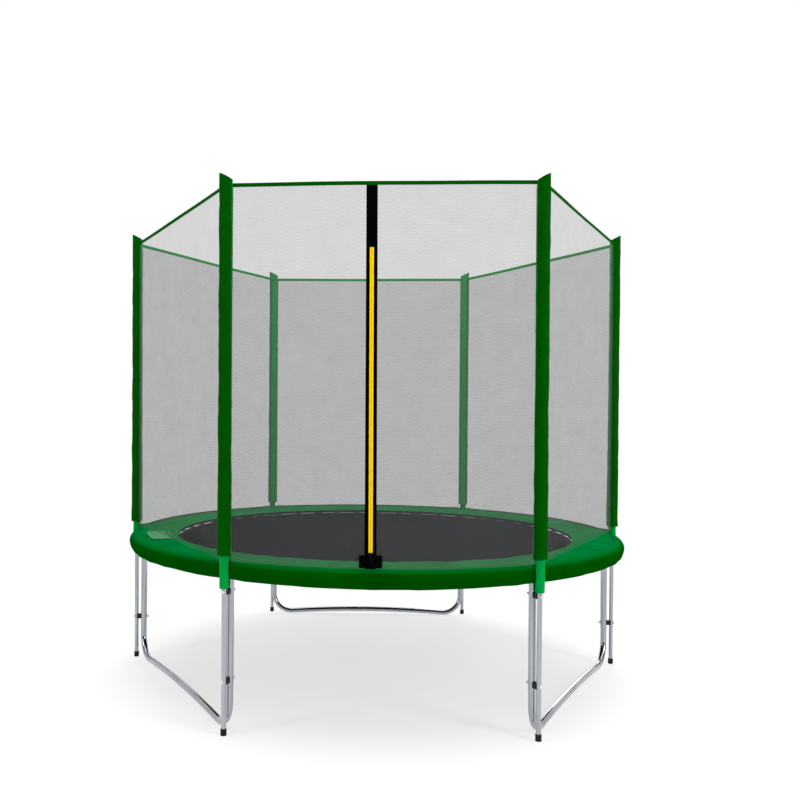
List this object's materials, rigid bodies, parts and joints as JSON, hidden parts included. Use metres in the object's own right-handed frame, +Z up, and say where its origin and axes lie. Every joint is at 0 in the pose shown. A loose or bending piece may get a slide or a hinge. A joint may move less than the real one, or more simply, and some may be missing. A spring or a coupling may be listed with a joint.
{
  "type": "backyard trampoline",
  "caption": "Round backyard trampoline with a steel ring on U-shaped legs, sprung mat, padded cover and an outside safety net with a zipped entrance.",
  "frame": {"origin": "on the ground under the centre of the mat", "axes": "+X from the centre to one enclosure pole, -Y to the zipped entrance, +Z up"},
  "size_m": [2.5868, 2.504, 2.2469],
  "materials": {
    "frame_steel": "hot-dip galvanised tube",
    "pole_steel": "galvanised tube",
    "pocket_fabric": "dark green coated fabric",
    "net_mesh": "grey knitted mesh",
    "foam": "bright green closed-cell foam",
    "black_plastic": "moulded black plastic",
    "rubber": "black rubber",
    "zinc": "zinc plated",
    "mat_fabric": "woven black polypropylene",
    "mat_webbing": "black webbing",
    "spring_steel": "galvanised spring wire",
    "pad_vinyl": "green satin PVC over foam",
    "skirt_vinyl": "green satin PVC",
    "tie_webbing": "black elastic strap",
    "border_fabric": "dark green hem band",
    "zip_tape": "black zip tape",
    "zip_teeth": "yellow coil zip",
    "zip_metal": "black lacquered metal",
    "flap_fabric": "black webbing"
  },
  "bodies": {
    "frame": {"clamp_bolts": "zinc", "clamp_nuts": "zinc", "clamp_spacers": "black_plastic", "entrance_flap": "flap_fabric", "foam_sleeves": "foam", "foot_caps": "rubber", "frame_pad": "pad_vinyl", "frame_rail_1": "frame_steel", "frame_rail_2": "frame_steel", "frame_rail_3": "frame_steel", "frame_rail_4": "frame_steel", "frame_rail_5": "frame_steel", "frame_rail_6": "frame_steel", "leg_base_1": "frame_steel", "leg_base_2": "frame_steel", "leg_base_3": "frame_steel", "leg_post_1": "frame_steel", "leg_post_2": "frame_steel", "leg_post_3": "frame_steel", "leg_post_4": "frame_steel", "leg_post_5": "frame_steel", "leg_post_6": "frame_steel", "net_border": "border_fabric", "net_front_left": "net_mesh", "net_front_right": "net_mesh", "net_panel_1": "net_mesh", "net_panel_2": "net_mesh", "net_panel_3": "net_mesh", "net_panel_4": "net_mesh", "net_panel_5": "net_mesh", "pad_skirt": "skirt_vinyl", "pad_ties": "tie_webbing", "pole_lower_1": "pole_steel", "pole_lower_2": "pole_steel", "pole_lower_3": "pole_steel", "pole_lower_4": "pole_steel", "pole_lower_5": "pole_steel", "pole_lower_6": "pole_steel", "pole_pocket_1": "pocket_fabric", "pole_pocket_2": "pocket_fabric", "pole_pocket_3": "pocket_fabric", "pole_pocket_4": "pocket_fabric", "pole_pocket_5": "pocket_fabric", "pole_pocket_6": "pocket_fabric", "pole_top_caps": "black_plastic", "pole_upper_1": "pole_steel", "pole_upper_2": "pole_steel", "pole_upper_3": "pole_steel", "pole_upper_4": "pole_steel", "pole_upper_5": "pole_steel", "pole_upper_6": "pole_steel", "springs": "spring_steel", "zip_tape": "zip_tape", "zip_teeth": "zip_teeth"},
    "mat": {"jump_mat": "mat_fabric", "mat_edge_band": "mat_webbing", "mat_loops": "mat_webbing", "v_rings": "zinc"},
    "zip_slider": {"zip_slider": "zip_metal"},
    "zip_pull": {"zip_pull": "zip_metal"}
  },
  "joints": [
    {"name": "mat_bounce", "type": "slide", "parent": "frame", "child": "mat", "axis": [0, 0, 1], "range_m": [-0.25, 0], "stiffness_N_per_m": 4800, "springref_m": 0.012, "deforming": ["springs"]},
    {"name": "zip_slide", "type": "slide", "parent": "frame", "child": "zip_slider", "axis": [0, 0.0974, 0.9952], "range_m": [0, 1.18]},
    {"name": "zip_pull_swing", "type": "hinge", "parent": "zip_slider", "child": "zip_pull", "pos_m": [-0.048, -1.24577, 0.75787], "axis": [-1, 0, 0], "range_deg": [0, 150]}
  ]
}
